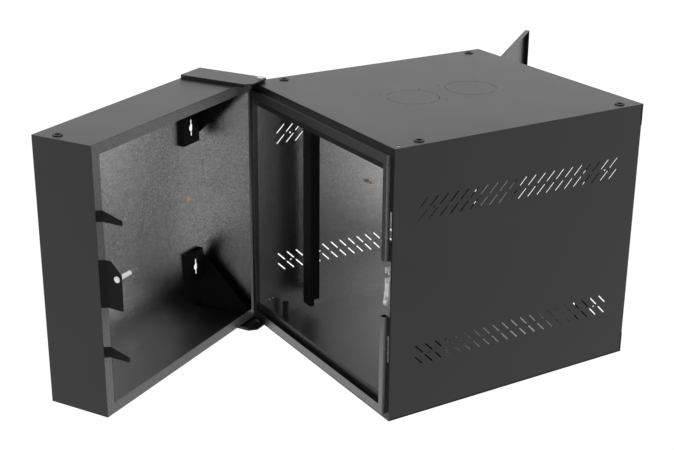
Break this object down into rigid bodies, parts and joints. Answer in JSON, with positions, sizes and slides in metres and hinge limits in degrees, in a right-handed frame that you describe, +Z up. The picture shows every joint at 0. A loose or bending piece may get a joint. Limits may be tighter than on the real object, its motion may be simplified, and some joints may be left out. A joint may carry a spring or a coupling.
{
  "type": "swing-out wall mount network cabinet",
  "caption": "Swing-out wall cabinet for rack equipment: a shallow wall section carries a deep vented cabinet on side pivots, with rack rails, a hook latch and a hinged front door.",
  "frame": {"origin": "centre of the wall section's back, which lies on the wall", "axes": "+Z up, -Y out from the wall, +X towards the side that carries the hinges"},
  "size_m": [1.6345, 1.0075, 0.632],
  "materials": {
    "casing": "fine-textured satin black powder coat",
    "bolt_steel": "bright steel",
    "dark_steel": "blackened steel",
    "brass": "plain brass",
    "plug": "black plastic",
    "zinc": "zinc plated",
    "claw": "yellow zinc plated",
    "roller": "white plastic",
    "spring": "blue steel wire",
    "lock_metal": "chromed"
  },
  "bodies": {
    "wall_section": {"wall_box_shell": "casing", "wall_box_top": "casing", "wall_box_bottom": "casing", "upper_hinge_plate": "casing", "lower_hinge_plate": "casing", "pivot_bolts": "bolt_steel", "pivot_spacers": "dark_steel", "pivot_nuts": "dark_steel", "upper_right_mount_bracket": "casing", "upper_left_mount_bracket": "casing", "lower_right_mount_bracket": "casing", "lower_left_mount_bracket": "casing", "upper_right_gusset": "casing", "lower_right_gusset": "casing", "upper_guide_tab": "casing", "lower_guide_tab": "casing", "latch_bracket": "casing", "striker_pin": "zinc", "striker_nut": "dark_steel", "wall_ground_stud": "brass", "wall_box_plugs": "plug"},
    "cabinet": {"cabinet_top": "casing", "cabinet_bottom": "casing", "hinge_side_panel": "casing", "latch_side_panel": "casing", "rear_rim": "casing", "rear_rail_hinge_side": "casing", "rear_rail_latch_side": "casing", "front_rail_hinge_side": "casing", "front_rail_latch_side": "casing", "rear_rail_hangers": "casing", "front_rail_hangers": "casing", "cabinet_ground_stud": "brass", "cabinet_plugs": "plug", "latch_housing": "zinc", "claw_pin": "zinc", "latch_spring": "spring", "upper_door_lug": "casing", "lower_door_lug": "casing"},
    "latch_hook": {"latch_claw": "claw"},
    "latch_release": {"latch_pawl": "zinc", "pawl_shaft": "zinc", "release_lever": "zinc", "release_roller": "roller"},
    "door": {"front_door": "casing", "upper_door_pin": "zinc", "lower_door_pin": "zinc", "lock_housing": "lock_metal", "lock_nut": "dark_steel"},
    "door_lock": {"lock_plug": "lock_metal", "lock_cam": "lock_metal"}
  },
  "joints": [
    {"name": "cabinet_swing", "type": "hinge", "parent": "wall_section", "child": "cabinet", "pos_m": [0.286, -0.18, 0], "axis": [0, 0, 1], "range_deg": [-60, 30]},
    {"name": "door_swing", "type": "hinge", "parent": "cabinet", "child": "door", "pos_m": [0.81319, -0.53287, 0], "axis": [0, 0, 1], "range_deg": [-130, 20]},
    {"name": "latch_turn", "type": "hinge", "parent": "cabinet", "child": "latch_hook", "pos_m": [0.01576, -0.67407, 0.0025], "axis": [0.5, 0.866, 0], "range_deg": [0, 60]},
    {"name": "release_pull", "type": "hinge", "parent": "cabinet", "child": "latch_release", "pos_m": [0.00194, -0.65801, -0.022], "axis": [0.5, 0.866, 0], "range_deg": [-25, 0], "stiffness_Nm_per_rad": 0.05, "springref_deg": 17.19},
    {"name": "lock_turn", "type": "hinge", "parent": "door", "child": "door_lock", "pos_m": [1.31003, -0.44527, 0], "axis": [0.1736, -0.9848, 0], "range_deg": [0, 90]}
  ]
}
